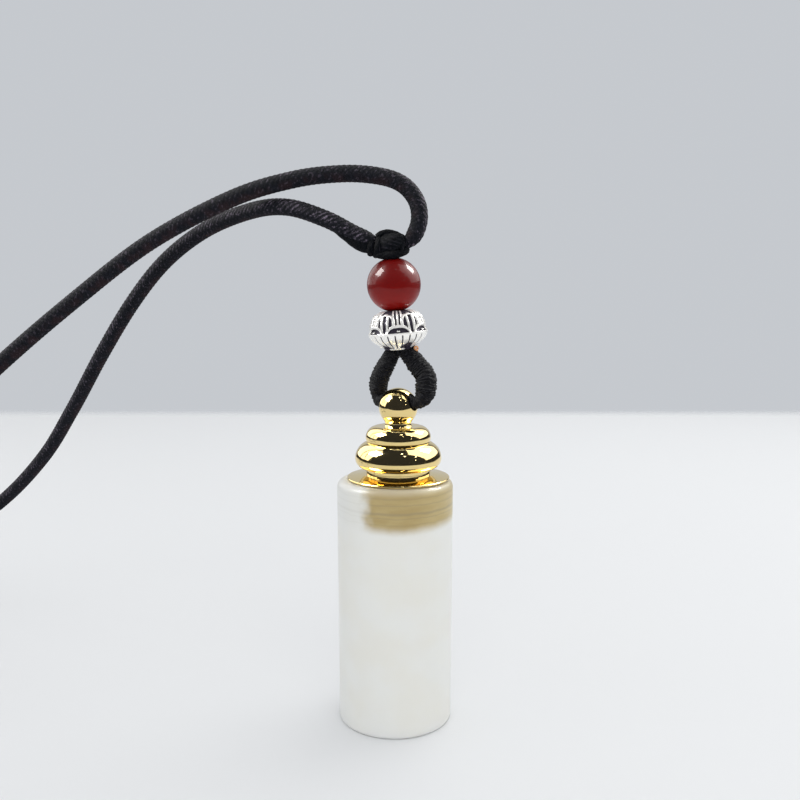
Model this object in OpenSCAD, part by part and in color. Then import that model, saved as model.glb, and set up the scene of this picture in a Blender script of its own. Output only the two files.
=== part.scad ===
// Bottle pendant: a drilled stone bottle with a turned collar and screw cap,
// a thread-wrapped hanging loop, a silver bead, a red bead, a tied knot and a
// neck cord. It stands on its foot. Millimetres, +Z up, with the origin at the
// middle of the underside of the stone.

/* [Stone bottle] */
// Height of the stone
stone_h = 38.4; // [34:0.2:44]
// Diameter of the stone at its shoulder
stone_d = 18; // [17.4:0.1:20]
// Diameter of the stone at its foot
foot_d = 17.7; // [16.8:0.1:20]
// Rounding of the shoulder
shoulder_r = 1.2; // [0.6:0.1:1.5]
// Rounding of the foot's edge
foot_r = 0.5; // [0.3:0.1:1.2]
// Diameter of the well that holds the oil
well_d = 8; // [7:0.2:9]
// Thickness of the stone under the well
well_floor = 4.5; // [3:0.5:8]
// How far the well, the collar and the cap stand off the stone's own axis
off_axis = 0.5; // [0:0.1:0.6]

/* [Collar] */
// Diameter of the flange that covers the mouth
flange_d = 15.9; // [14:0.1:16.2]
// Thickness of the flange at its rim
flange_t = 0.36; // [0.3:0.02:0.6]
// Rise of the flange from its rim to the neck
flange_rise = 0.38; // [0.2:0.02:0.5]
// Diameter of the neck under the cap
neck_d = 9.9; // [8.8:0.1:11]
// Height of the collar above the stone
collar_h = 1.15; // [1:0.05:2]
// Outer diameter of the sleeve that is glued into the stone
sleeve_d = 9.8; // [9.4:0.1:11]
// Length of the sleeve
sleeve_l = 6.2; // [4:0.2:9]
// Number of glue grooves round the sleeve
sleeve_grooves = 4; // [1:1:5]
// Bore of the collar
throat_d = 6.6; // [6:0.1:7.4]

/* [Cap] */
// Length of the ridged spigot below the cap
spigot_l = 5.6; // [3:0.2:8]
// Number of ridges round the spigot
spigot_ridges = 5; // [2:1:6]
// Height of the cap's neck, from the parting line to the large step
cap_neck_h = 0.5; // [0.3:0.1:1.5]
// Diameter of the large step
big_step_d = 13.4; // [12.4:0.1:15]
// Radius of the large step's lower rounding
big_under_r = 1.5; // [1:0.1:1.8]
// Radius of the large step's upper rounding
big_over_r = 2.7; // [2.2:0.05:3]
// Height from the middle of the large step to the middle of the small one
step_rise = 3.25; // [2.8:0.05:3.6]
// Diameter of the small step
small_step_d = 10.1; // [9:0.1:11]
// Radius of the small step's rounding
small_step_r = 1.75; // [1.3:0.05:2]
// Diameter of the waist under the ball
waist_d = 4.1; // [3.4:0.1:5]
// Height of the waist
waist_h = 0.85; // [0.6:0.05:1.2]
// Diameter of the ball
ball_d = 6; // [5.6:0.1:7]
// Diameter of the hole across the ball
ball_hole_d = 2.6; // [2.5:0.1:3.2]
// Height of that hole over the ball's middle
hole_rise = 0.9; // [0.5:0.1:1]

/* [Hanging loop] */
// Thickness of the wrapped loop
loop_d = 3; // [2.4:0.1:3.2]
// Height of the loop, from the middle of the ball to the bead
loop_h = 8.9; // [8:0.1:11]
// Width of the loop between the middles of its legs
loop_w = 8; // [7.8:0.1:9]
// Thickness of the bare core that goes on through the beads
core_d = 1.7; // [1.2:0.1:1.8]
// Turn of the ball's hole away from straight across
loop_turn = 30; // [0:1:40]

/* [Beads] */
// Diameter of the silver bead
silver_d = 9.1; // [8:0.1:10]
// Height of the silver bead
silver_h = 5.8; // [5:0.1:7]
// Number of petals round the silver bead's upper half
petals = 8; // [6:1:12]
// Number of flutes round its lower half
flutes = 24; // [16:2:32]
// Diameter of the red bead
red_d = 8.2; // [7:0.1:9]
// Diameter of the holes through the beads
bead_hole_d = 2; // [1.9:0.1:2.4]
// Lean of the beads and the knot
lean = 5; // [0:0.5:7]

/* [Knot and neck cord] */
// Width of the knot
knot_w = 6.4; // [6:0.1:7]
// Depth of the knot
knot_d = 5.4; // [5:0.1:6]
// Height of the knot
knot_h = 4.2; // [3.6:0.1:4.6]
// Thickness of the neck cord
cord_d = 2.6; // [2.2:0.1:2.8]

/* [Hidden] */

round_fn = 72;
eps = 0.01;

// Clearances between pieces
glue_gap = 0.1;
seat_gap = 0.05;
thread_gap = 0.1;
bead_gap = 0.15;
socket_gap = 0.1;

// Heights, from the foot up
collar_z = stone_h + seat_gap;
cap_z = stone_h + collar_h + 2 * seat_gap;
socket_depth = sleeve_l + glue_gap;
spigot_d = throat_d - 2 * thread_gap;
big_mid = cap_neck_h + big_under_r;
small_mid = big_mid + step_rise;
small_top = small_mid + small_step_r;

// The waist is a cove; the ball sits on its upper edge
cove_r = 0.75;
waist_edge_r = waist_d / 2 + cove_r - sqrt(pow(cove_r, 2) - pow(waist_h / 2, 2));
ball_z = small_top + waist_h + sqrt(pow(ball_d / 2, 2) - pow(waist_edge_r, 2));

// Places along the leaning axis of the beads, from the silver bead's underside
seat_r = 1.3;
red_z = silver_h + sqrt(pow(red_d / 2, 2) - pow(seat_r, 2)) + bead_gap;
knot_z = red_z + red_d / 2 + bead_gap + knot_h / 2;
core_end = knot_z - 0.25 * knot_h;
stack_shift = 0.2;
stack_z = cap_z + ball_z + loop_h;

// One leg of the loop, from the ball's hole to the bead: shares of the loop's
// width across and behind, of its height, and of its thickness
RIGHT_LEG = [
    [0.20, 0, 0.101, 0.74], [0.369, 0, 0.101, 0.74], [0.5, 0, 0.14, 0.76],
    [0.54, 0.052, 0.236, 0.9], [0.549, 0.1, 0.326, 1], [0.53, 0.1325, 0.44, 1.05],
    [0.4575, 0.12, 0.61, 1.05], [0.325, 0.087, 0.79, 1.05], [0.209, 0.063, 0.92, 1],
    [0.14, 0.045, 1.06, 0.92]];
LEFT_LEG = [
    [-0.20, 0, 0.101, 0.74], [-0.369, 0, 0.101, 0.74], [-0.481, 0.125, 0.146, 0.76],
    [-0.465, 0.042, 0.236, 0.84], [-0.454, 0.005, 0.337, 0.92], [-0.425, -0.014, 0.44, 0.94],
    [-0.351, -0.042, 0.58, 0.94], [-0.234, -0.045, 0.72, 0.9], [-0.122, -0.026, 0.85, 0.9],
    [-0.045, -0.009, 0.97, 0.9], [-0.019, -0.005, 1.06, 0.9]];

// Outline of the silver bead: shares of its height and radius, and how far the
// flutes and the petals stand out there, as shares of its radius
SILVER = [
    [0, 0.3, 0, 0], [0, 0.5, 0, 0], [0.08, 0.62, 0.05, 0], [0.2, 0.78, 0.06, 0],
    [0.33, 0.91, 0.05, 0], [0.43, 0.97, 0.02, 0.04], [0.5, 0.9, 0, 0.08], [0.62, 0.87, 0, 0.08],
    [0.76, 0.81, 0, 0.09], [0.88, 0.73, 0, 0.08], [0.96, 0.64, 0, 0.05], [1, 0.54, 0, 0],
    [1, 0.3, 0, 0]];
silver_sides = 96;

// The neck cord's route, out of the knot, round and back into it
ROUTE = [
    [1.4, -0.2, 73.9], [3, -0.1, 75.8], [3.7, 0.1, 78.3], [3.1, 0.3, 81], [1, 0.7, 83.3],
    [-2.5, 1.1, 84.5], [-8, 1.6, 84.9], [-15.5, 1.6, 84], [-25, 2.7, 81.3], [-38.5, 5.8, 75],
    [-51, 7, 66.1], [-64, 7, 55.4], [-79, 6.2, 41.5], [-93, 3.5, 26.5], [-106, -0.5, 12.5],
    [-119, -4, 3.6], [-134, -6, 1.6], [-149, -5.2, 1.4], [-160.5, 1.5, 1.4], [-166, 14, 1.4],
    [-166.5, 28, 1.4], [-160.5, 40, 1.4], [-148, 47.5, 1.4], [-132, 50.4, 1.6],
    [-115.5, 50.8, 4.6], [-99, 49.2, 13], [-83.2, 45.6, 23.4], [-70.6, 38.2, 34.4],
    [-61.5, 31, 45.1], [-53.2, 24.4, 56.1], [-46, 20.2, 65.4], [-39.3, 17.2, 72.4],
    [-31.5, 13, 77.3], [-23, 6.8, 79.8], [-16.5, 2.2, 80], [-10.5, 0.3, 78.1], [-6, -0.1, 75.8],
    [-2.4, -0.1, 74.3]];
cord_sides = 8;
loop_sides = 10;

// A point on the smooth curve through four points, t from the second to the third
function between(a, b, c, d, t) =
    0.5 * (2 * b + (c - a) * t + (2 * a - 5 * b + 4 * c - d) * pow(t, 2)
    + (3 * b - a - 3 * c + d) * pow(t, 3));

// The smooth curve through a list of points, with steps places to each gap
function smooth(points, steps) =
    let (last = len(points) - 1)
    [for (i = [0 : last - 1], k = [0 : steps[i] - 1])
        between(points[max(i - 1, 0)] + (i == 0 ? points[0] - points[1] : 0 * points[0]),
                points[i], points[i + 1],
                points[min(i + 2, last)]
                + (i + 1 == last ? points[last] - points[last - 1] : 0 * points[0]),
                k / steps[i]),
     points[last]];

function unit(v) = v / norm(v);
function place(p) = [p[0], p[1], p[2]];

// The direction of a line of places at each of them
function headings(line) =
    let (last = len(line) - 1)
    [for (i = [0 : last]) unit(place(line[min(i + 1, last)]) - place(line[max(i - 1, 0)]))];

// A direction square to each heading, carried along without twisting
function sides_of(ways, first) =
    [for (i = 0, n = unit(first - (first * ways[0]) * ways[0]); i < len(ways);
          i = i + 1, n = i < len(ways) ? unit(n - (n * ways[i]) * ways[i]) : n) n];

// A closed form through rings of points, each with the same number of sides
module lathe_form(points, sides) {
    rings = len(points) / sides;
    walls = [for (i = [0 : rings - 2], k = [0 : sides - 1], half = [0, 1])
        let (a = i * sides + k, b = i * sides + (k + 1) % sides)
        half == 0 ? [a, a + sides, b] : [b, a + sides, b + sides]];
    polyhedron(points, concat([[for (k = [0 : sides - 1]) k]], walls,
                              [[for (k = [sides - 1 : -1 : 0]) (rings - 1) * sides + k]]));
}

// A closed round tube along a line of places [x, y, z, diameter]
module tube(line, sides, first) {
    ways = headings(line);
    across = sides_of(ways, first);
    rings = len(line);
    points = [for (i = [0 : rings - 1], k = [0 : sides - 1])
        place(line[i]) + line[i][3] / 2 * (cos(360 * k / sides) * across[i]
                                           + sin(360 * k / sides) * cross(ways[i], across[i]))];
    lathe_form(points, sides);
}

// A rectangle of a turned outline, from its axis out to a radius
module band(radius, low, high, inner = 0) {
    translate([inner, low]) square([radius - inner, high - low]);
}

// The upper or the lower half of a round edge whose outside is at a radius
module half_round(radius, r, mid, side) {
    intersection() {
        translate([radius - r, mid]) circle(r, $fn = round_fn);
        translate([radius - 2 * r, side > 0 ? mid : mid - 2 * r]) square([4 * r, 2 * r]);
    }
    band(radius - r, side > 0 ? mid : mid - r, side > 0 ? mid + r : mid);
}

module turned() {
    rotate_extrude($fn = 2 * round_fn) children();
}

module on_cap_axis(z) {
    translate([off_axis, 0, z]) children();
}

module across_ball() {
    on_cap_axis(cap_z + ball_z) rotate([0, 0, -loop_turn]) children();
}

module on_stack(along) {
    translate([off_axis + stack_shift, 0, stack_z]) rotate([0, -lean, 0])
        translate([0, 0, along]) children();
}

module stone_outline() {
    top_r = stone_d / 2;
    low_r = foot_d / 2;
    polygon([[0, 0], [low_r - foot_r, 0], [low_r, foot_r], [top_r, stone_h - shoulder_r],
             [top_r - shoulder_r, stone_h], [0, stone_h]]);
    translate([low_r - foot_r, foot_r]) circle(foot_r, $fn = round_fn);
    translate([top_r - shoulder_r, stone_h - shoulder_r]) circle(shoulder_r, $fn = round_fn);
}

module stone_bottle() {
    color([0.87, 0.88, 0.85]) difference() {
        turned() stone_outline();
        on_cap_axis(well_floor) cylinder(d = well_d, h = stone_h, $fn = round_fn);
        on_cap_axis(stone_h - socket_depth)
            cylinder(d = sleeve_d + 2 * glue_gap, h = socket_depth + 1, $fn = round_fn);
    }
}

// The collar's outline, with its height counted from the stone's top
module collar_outline() {
    rim = flange_d / 2 - flange_t / 2;
    groove_r = 0.3;
    foot_of_neck = flange_t + flange_rise;
    difference() {
        union() {
            band(sleeve_d / 2, -sleeve_l, flange_t, throat_d / 2);
            band(rim, 0, flange_t, throat_d / 2);
            translate([rim, flange_t / 2]) circle(flange_t / 2, $fn = round_fn);
            polygon([[throat_d / 2, flange_t - eps], [rim, flange_t - eps], [rim, flange_t],
                     [neck_d / 2 + flange_rise, foot_of_neck], [throat_d / 2, foot_of_neck]]);
            band(neck_d / 2, 0, collar_h, throat_d / 2);
        }
        for (i = [1 : sleeve_grooves])
            translate([sleeve_d / 2 + groove_r / 2, -i * sleeve_l / (sleeve_grooves + 1)])
                circle(groove_r, $fn = round_fn);
    }
}

module collar() {
    color([0.9, 0.72, 0.32]) on_cap_axis(collar_z) turned() collar_outline();
}

module spigot_outline() {
    ridge = 0.22;
    pitch = spigot_l / (spigot_ridges + 1);
    core_r = spigot_d / 2 - ridge;
    band(core_r, -spigot_l, eps);
    for (i = [1 : spigot_ridges])
        polygon([[core_r - eps, -i * pitch - 0.4 * pitch], [spigot_d / 2, -i * pitch],
                 [core_r - eps, -i * pitch + 0.4 * pitch]]);
}

module steps_outline() {
    band(neck_d / 2, 0, big_mid);
    half_round(big_step_d / 2, big_under_r, big_mid, -1);
    half_round(big_step_d / 2, big_over_r, big_mid, 1);
    translate([small_step_d / 2 - small_step_r, small_mid]) circle(small_step_r, $fn = round_fn);
    band(small_step_d / 2 - small_step_r, small_mid - small_step_r, small_top);
}

module waist_outline() {
    difference() {
        band(waist_edge_r, small_top - eps, small_top + waist_h);
        translate([waist_d / 2 + cove_r, small_top + waist_h / 2])
            circle(cove_r, $fn = round_fn);
    }
}

module cap_turning() {
    on_cap_axis(cap_z) {
        turned() {
            spigot_outline();
            steps_outline();
            waist_outline();
        }
        translate([0, 0, ball_z]) sphere(d = ball_d, $fn = round_fn);
    }
}

module cap() {
    color([0.93, 0.75, 0.33]) difference() {
        cap_turning();
        across_ball() translate([0, 0, hole_rise]) rotate([0, 90, 0])
            cylinder(d = ball_hole_d, h = 2 * ball_d, center = true, $fn = round_fn);
    }
}

// A leg's places, in the ball's own directions
function leg_line(leg) =
    smooth([for (p = leg) [p[0] * loop_w, p[1] * loop_w, p[2] * loop_h, p[3] * loop_d]],
           [for (p = leg) 2]);

module hanging_loop() {
    bridge = 0.9 * ball_hole_d;
    color([0.07, 0.06, 0.07]) {
        across_ball() {
            translate([0, 0, hole_rise]) rotate([0, 90, 0])
                cylinder(d = bridge, h = 0.6 * ball_d, center = true, $fn = round_fn);
            intersection() {
                union() {
                    tube(leg_line(RIGHT_LEG), loop_sides, [0, 1, 0]);
                    tube(leg_line(LEFT_LEG), loop_sides, [0, 1, 0]);
                }
                translate([0, 0, -ball_d])
                    cylinder(d = 4 * loop_w, h = ball_d + loop_h - bead_gap, $fn = round_fn);
            }
        }
        on_stack(-0.3 * loop_d) cylinder(d = core_d, h = core_end + 0.3 * loop_d, $fn = round_fn);
    }
}

// How far the silver bead stands out from its axis, at a row and an angle
function silver_reach(row, angle) =
    silver_d / 2 * (row[1] + row[2] * cos(flutes * angle)
                    + row[3] * abs(cos(petals * angle / 2)) - row[3] / 2);

module silver_form() {
    points = [for (row = SILVER, k = [0 : silver_sides - 1])
        let (angle = 360 * k / silver_sides, reach = silver_reach(row, angle))
        [reach * cos(angle), reach * sin(angle), row[0] * silver_h]];
    lathe_form(points, silver_sides);
}

module silver_bead() {
    color([0.8, 0.8, 0.8]) on_stack(0) difference() {
        silver_form();
        translate([0, 0, -1]) cylinder(d = bead_hole_d, h = silver_h + 2, $fn = round_fn);
    }
}

module red_bead() {
    color([0.55, 0.05, 0.03]) on_stack(red_z) difference() {
        sphere(d = red_d, $fn = round_fn);
        cylinder(d = bead_hole_d, h = 2 * red_d, center = true, $fn = round_fn);
    }
}

// A round socket round one end of the neck cord
module cord_socket(start, next) {
    way = next - start;
    translate(start)
        rotate([0, acos(way[2] / norm(way)), atan2(way[1], way[0])])
            translate([0, 0, -socket_gap])
                cylinder(d = cord_d + 2 * socket_gap, h = knot_d, $fn = round_fn);
}

// How far one wrap of the knot stands out, at a height and an angle
function wrap_reach(rise, height, angle) =
    sqrt(max(0, 1 - pow((height - rise * sin(angle)) / 0.36, 2)));

// How far the knot stands out from its axis, at a share of its height and an angle
function knot_reach(height, angle) =
    let (body = pow(1 - pow(abs(height), 2.4), 1 / 2.4),
         wraps = max(wrap_reach(0.5, height, angle), wrap_reach(-0.5, height, angle + 30),
                     0.8 * wrap_reach(0, height, angle)))
    0.42 + body * (0.4 + 0.18 * wraps);

module knot_form() {
    rows = [-1, -0.94, -0.84, -0.72, -0.6, -0.48, -0.36, -0.24, -0.12, 0, 0.12, 0.24, 0.36,
            0.48, 0.6, 0.72, 0.84, 0.94, 1];
    sides = 60;
    points = [for (height = rows, k = [0 : sides - 1])
        let (angle = 360 * k / sides, reach = knot_reach(height, angle) / 2)
        [reach * knot_w * cos(angle), reach * knot_d * sin(angle), height * knot_h / 2]];
    lathe_form(points, sides);
}

module cord_knot() {
    last = len(ROUTE) - 1;
    color([0.06, 0.05, 0.06]) difference() {
        on_stack(knot_z) knot_form();
        on_stack(knot_z - knot_h) cylinder(d = bead_hole_d, h = core_end - knot_z + knot_h
                                           + socket_gap, $fn = round_fn);
        cord_socket(ROUTE[0], ROUTE[1]);
        cord_socket(ROUTE[last], ROUTE[last - 1]);
    }
}

// More rings where the route's points lie far apart
far_apart = 9;
function cord_steps() =
    [for (i = [0 : len(ROUTE) - 2]) norm(ROUTE[i + 1] - ROUTE[i]) > far_apart ? 3 : 1];

module neck_cord() {
    color([0.08, 0.07, 0.08])
        tube([for (p = smooth(ROUTE, cord_steps())) [p[0], p[1], p[2], cord_d]],
             cord_sides, [0, 1, 0]);
}

stone_bottle();
collar();
cap();
hanging_loop();
silver_bead();
red_bead();
cord_knot();
neck_cord();
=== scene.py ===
"""Looks of a bottle pendant: a milky stone bottle with a gold collar and stepped
cap, a thread-wrapped hanging loop, a silver lotus bead, a red bead, a tied knot
and a braided neck cord. Sizes are in millimetres unless a name says otherwise."""

import logging
import math
from dataclasses import dataclass
from enum import Enum
from functools import lru_cache
from typing import Callable, ClassVar, Mapping, Sequence

import bmesh
import bpy
from mathutils import Matrix, Vector, noise


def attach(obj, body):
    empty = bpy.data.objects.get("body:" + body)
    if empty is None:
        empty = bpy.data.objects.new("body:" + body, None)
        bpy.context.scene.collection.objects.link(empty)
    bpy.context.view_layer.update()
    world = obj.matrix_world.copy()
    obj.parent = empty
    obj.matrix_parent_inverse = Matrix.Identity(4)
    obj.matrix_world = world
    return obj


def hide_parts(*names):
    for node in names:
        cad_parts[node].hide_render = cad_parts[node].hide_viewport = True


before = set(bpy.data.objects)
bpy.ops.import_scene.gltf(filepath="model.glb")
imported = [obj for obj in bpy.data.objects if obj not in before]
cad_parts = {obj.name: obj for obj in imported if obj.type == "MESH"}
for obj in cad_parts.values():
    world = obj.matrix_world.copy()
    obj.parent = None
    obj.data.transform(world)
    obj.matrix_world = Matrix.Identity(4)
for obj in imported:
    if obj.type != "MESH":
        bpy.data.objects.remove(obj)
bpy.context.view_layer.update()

MM = 0.001
FULL_TURN = 2 * math.pi
CREASE = math.radians(50.0)
WELD = 1e-4
TINY = 1e-9
BACK = Vector((0, 1, 0))
CAP_BODY = "cap_and_cord"
LOG = logging.getLogger("bottle_pendant")

Number = float | int
Colour = tuple[float, float, float]
Point = tuple[float, float, float]
Form = bmesh.types.BMesh
Material = bpy.types.Material

# A station is a place with a thickness, a skin point a place with its relief and its run
# along the form, and a cut a depth with its relief. A relief goes from 0 to 1.
Station = tuple[float, float, float, float]
SkinPoint = tuple[Vector, float, float]
Cut = tuple[float, float]
Relief = Callable[[float, float], Cut]


class Slot(Enum):
    """The record's material slots."""

    STONE = "milky_stone"
    GOLD = "gold_metal"
    THREAD = "black_thread"
    SILVER = "silver"
    RED = "red_stone"
    BRAID = "black_braid"


class Field:
    """A number, colour or vector that varies over a surface: a socket with operators."""

    def __init__(self, recipe: "Recipe", socket: bpy.types.NodeSocket) -> None:
        """Wraps the output socket that carries the value, in the recipe that adds nodes."""
        self.recipe = recipe
        self.socket = socket

    def _math(self, operation: str, *values: "Value") -> "Field":
        """The result of a Math node's operation on values, in order."""
        inputs = dict(enumerate(values))
        return self.recipe.add("ShaderNodeMath", inputs, {"operation": operation})

    def __add__(self, other: "Value") -> "Field":
        """This value plus another."""
        return self._math("ADD", self, other)

    __radd__ = __add__

    def __sub__(self, other: "Value") -> "Field":
        """This value less another."""
        return self._math("SUBTRACT", self, other)

    def __rsub__(self, other: "Value") -> "Field":
        """Another value less this one."""
        return self._math("SUBTRACT", other, self)

    def __mul__(self, other: "Value") -> "Field":
        """This value times another."""
        return self._math("MULTIPLY", self, other)

    __rmul__ = __mul__

    def __truediv__(self, other: "Value") -> "Field":
        """This value divided by another."""
        return self._math("DIVIDE", self, other)

    def __rtruediv__(self, other: "Value") -> "Field":
        """Another value divided by this one."""
        return self._math("DIVIDE", other, self)

    def __pow__(self, other: "Value") -> "Field":
        """This value to a power."""
        return self._math("POWER", self, other)

    def __rpow__(self, other: "Value") -> "Field":
        """Another value to the power of this one."""
        return self._math("POWER", other, self)

    def __neg__(self) -> "Field":
        """This value with its sign turned."""
        return 0 - self

    def __abs__(self) -> "Field":
        """This value without its sign."""
        return self._math("ABSOLUTE", self)

    def angle(self, other: "Value") -> "Field":
        """The angle whose tangent is this value over another, in degrees."""
        return self._math("ARCTAN2", self, other) * (180 / math.pi)

    def sine(self) -> "Field":
        """The sine of this value, in radians."""
        return self._math("SINE", self)

    def at_most(self, other: "Value") -> "Field":
        """The lesser of this value and another."""
        return self._math("MINIMUM", self, other)

    def rise(self, low: Number, high: Number) -> "Field":
        """A smooth step.

        Args:
            low: The value at which the result is 0.
            high: The value at which the result is 1.

        Returns:
            A value from 0 to 1.
        """
        return self.recipe.add(
            "ShaderNodeMapRange",
            {"Value": self, "From Min": low, "From Max": high},
            {"interpolation_type": "SMOOTHSTEP"},
        )


Value = Field | Number


class Recipe:
    """The nodes of a material or of the world, written as expressions."""

    def __init__(self, owner: Material | bpy.types.World) -> None:
        """Starts with no nodes.

        Args:
            owner: The material or world that gets the nodes.
        """
        self.owner = owner
        owner.use_nodes = True
        self.tree = owner.node_tree
        self.tree.nodes.clear()

    def add(
        self,
        kind: str,
        inputs: Mapping[str | int, object] | None = None,
        settings: Mapping[str, object] | None = None,
        output: str | int = 0,
    ) -> Field:
        """Adds a node of any type.

        Args:
            kind: The node's type.
            inputs: The value or link of each socket, by name or number.
            settings: The node's own settings.
            output: The output to hand on.

        Returns:
            The output as a field.
        """
        node = self.tree.nodes.new(kind)
        for name, setting in (settings or {}).items():
            setattr(node, name, setting)
        for key, given in (inputs or {}).items():
            if isinstance(given, Field):
                self.tree.links.new(given.socket, node.inputs[key])
            else:
                node.inputs[key].default_value = given
        return Field(self, node.outputs[output] if node.outputs else None)

    def mix(self, share: Value, first: object, second: object) -> Field:
        """Blends two colours.

        Args:
            share: How much of the second shows, from 0 to 1.
            first: A colour or field.
            second: A colour or field.

        Returns:
            The blended colour.
        """
        picks = [c if isinstance(c, Field) else (*c, 1.0) for c in (first, second)]
        return self.add(
            "ShaderNodeMix",
            {0: share, 6: picks[0], 7: picks[1]},
            {"data_type": "RGBA", "clamp_factor": True},
            output=2,
        )

    def place(self) -> tuple[Field, Field, Field]:
        """Reads the surface's place.

        Returns:
            Its three parts, in millimetres.
        """
        spot = self.add("ShaderNodeTexCoord", output="Object")
        scaled = self.add(
            "ShaderNodeVectorMath", {0: spot, "Scale": 1 / MM}, {"operation": "SCALE"}
        )
        return self.parts(scaled)

    def unwrapped(self) -> tuple[Field, Field]:
        """The surface's place on its own UV map: turns round it, millimetres along it."""
        spot = self.add("ShaderNodeTexCoord", output="UV")
        return self.parts(spot)[:2]

    def parts(self, vector: Field) -> tuple[Field, Field, Field]:
        """A vector's three parts."""
        first = self.add("ShaderNodeSeparateXYZ", {0: vector})
        return tuple(Field(self, output) for output in first.socket.node.outputs)

    def joined(self, x: Value, y: Value, z: Value) -> Field:
        """A vector from three values."""
        return self.add("ShaderNodeCombineXYZ", {0: x, 1: y, 2: z})

    def cloud(self, size: float, where: Field | None = None, detail: float = 2.0) -> Field:
        """Soft noise.

        Args:
            size: The size of its blots, in millimetres.
            where: The place it is read at, in millimetres, or the surface's own.
            detail: How many finer layers it has.

        Returns:
            A value round 0.5.
        """
        spot = where or self.joined(*self.place())
        return self.add(
            "ShaderNodeTexNoise", {"Vector": spot, "Scale": 1 / size, "Detail": detail}
        )

    def surface(
        self, sockets: Mapping[str, object], bump: Field | None = None, depth: float = 0.0
    ) -> Material:
        """Closes the recipe with one shader.

        Args:
            sockets: The shader's own values and links.
            bump: A height for fine relief, if any.
            depth: The relief's depth in millimetres.

        Returns:
            The material.
        """
        given = dict(sockets)
        if bump is not None:
            given["Normal"] = self.add(
                "ShaderNodeBump", {"Height": bump, "Distance": depth * MM, "Strength": 1.0}
            )
        shader = self.add("ShaderNodeBsdfPrincipled", given)
        self.add("ShaderNodeOutputMaterial", {"Surface": shader})
        return self.owner


@dataclass(frozen=True)
class Finish:
    """How a kind of surface looks. Each finish makes its own material."""

    slot: ClassVar[Slot]

    def material(self) -> Material:
        """The material."""
        raise NotImplementedError


@dataclass(frozen=True)
class MilkyStone(Finish):
    """Polished milky stone, with the tan bed of the sleeve seen through its top.

    Heights are from the foot. Turns are in degrees from the front, and the right side
    is at 90. Each line has its height, its width and its weight. The other sizes are
    those of the blots that cloud, streak and roughen the stone.
    """

    slot: ClassVar[Slot] = Slot.STONE
    pale: Colour = (0.795, 0.80, 0.775)
    warm: Colour = (0.785, 0.78, 0.735)
    tan: Colour = (0.41, 0.295, 0.092)
    light_tan: Colour = (0.55, 0.44, 0.20)
    line_tan: Colour = (0.27, 0.22, 0.12)
    grey: Colour = (0.44, 0.43, 0.37)
    band_low: tuple[float, float] = (31.35, 33.2)
    band_top: tuple[float, float] = (37.0, 38.2)
    band_sag: float = 0.006
    band_start: float = -28.5
    band_end: float = 152.0
    band_fade: float = 8.0
    sway_up: float = 0.25
    sway_round: float = 9.0
    sway_size: float = 2.4
    lighter_turn: tuple[float, float] = (10.0, 75.0)
    cloud_size: float = 7.0
    streak_size: float = 1.6
    grain_size: float = 1.4
    lines: tuple[tuple[float, float, float], ...] = (
        (37.1, 0.22, 0.25), (36.1, 0.18, 0.3), (34.85, 0.34, 0.5), (34.2, 0.16, 0.3),
        (33.2, 0.2, 0.22),
    )

    def _layers(self, height: Field) -> Field:
        """Faint darker lines round the band.

        Args:
            height: The height from the foot.

        Returns:
            How much of them shows, from 0 to 1.
        """
        drawn = (
            abs(height - level).rise(width, 0.0) * weight
            for level, width, weight in self.lines
        )
        return sum(drawn).at_most(1.0)

    def _ends(self, turn: Field) -> Field:
        """The band's two soft ends.

        Args:
            turn: The turn from the front, in degrees.

        Returns:
            How much of the band shows, from 0 to 1.
        """
        fade = self.band_fade
        start = turn.rise(self.band_start - fade, self.band_start + fade)
        return start * turn.rise(self.band_end + fade, self.band_end - fade)

    def material(self) -> Material:
        """Milky body, faint warm clouds and a tan band at the top.

        Returns:
            The material.
        """
        recipe = Recipe(bpy.data.materials.new("milky_stone"))
        x, y, z = recipe.place()
        turn = x.angle(-y)
        wander = (recipe.cloud(self.sway_size) - 0.5) * 2.0
        height = z + wander * self.sway_up
        above = (height - x * x * self.band_sag).rise(*self.band_low)
        lines = self._layers(height)
        clouds = recipe.cloud(self.cloud_size).rise(0.35, 0.7)
        flat = recipe.joined(x * 0.4, y * 0.4, z * 1.6)
        streaks = recipe.cloud(self.streak_size, flat).rise(0.35, 0.75)
        light_share = turn.rise(*self.lighter_turn) * 0.6 + streaks * 0.35
        tan = recipe.mix(light_share, self.tan, self.light_tan)
        body = recipe.mix(clouds, self.pale, self.warm)
        hazy = recipe.mix(above * (0.07 + lines * 0.25), body, self.grey)
        banded = recipe.mix(lines, tan, self.line_tan)
        share = above * self._ends(turn + wander * self.sway_round)
        share = share * (0.9 - z.rise(*self.band_top) * 0.25)
        return recipe.surface(
            {
                "Base Color": recipe.mix(share, hazy, banded),
                "Roughness": 0.32,
                "Specular IOR Level": 0.15,
                "Subsurface Weight": 0.5,
                "Subsurface Radius": (1.0, 1.0, 0.9),
                "Subsurface Scale": 2.4 * MM,
                "Coat Weight": 0.12,
                "Coat Roughness": 0.12,
                "IOR": 1.5,
            },
            bump=recipe.cloud(self.grain_size, detail=3.0),
            depth=0.008,
        )


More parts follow.
